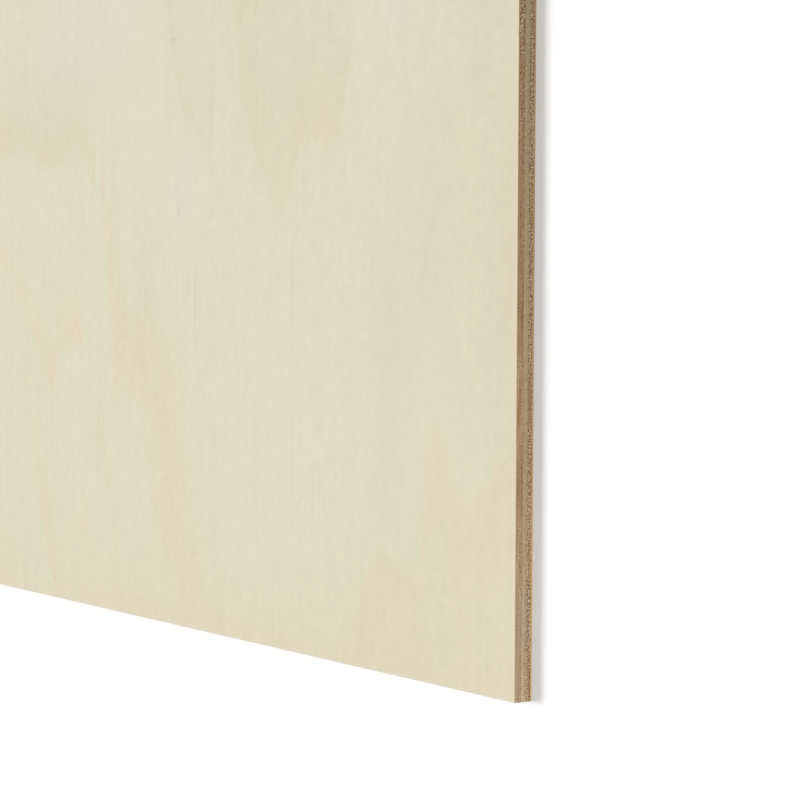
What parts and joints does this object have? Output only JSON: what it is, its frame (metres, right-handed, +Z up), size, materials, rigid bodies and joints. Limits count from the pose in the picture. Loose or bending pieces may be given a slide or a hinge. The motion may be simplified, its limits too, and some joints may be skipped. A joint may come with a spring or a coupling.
{
  "type": "plywood sheet",
  "caption": "Flat rectangular plywood sheet laid up from crossed rotary-cut veneers, sanded, with bare trimmed edges.",
  "frame": {"origin": "middle of the back, on the plane the sheet lies on", "axes": "+X along the sheet's length and the grain of its face, +Y across its width, +Z up through the plies to the face"},
  "size_m": [1.22, 0.61, 0.006],
  "materials": {
    "face_veneer_wood": "sanded, unfinished",
    "crossband_wood": "sawn end grain",
    "core_wood": "sawn",
    "back_veneer_wood": "sanded, unfinished"
  },
  "bodies": {
    "root": {"back_veneer": "back_veneer_wood", "back_crossband": "crossband_wood", "core": "core_wood", "face_crossband": "crossband_wood", "face_veneer": "face_veneer_wood"}
  },
  "joints": []
}
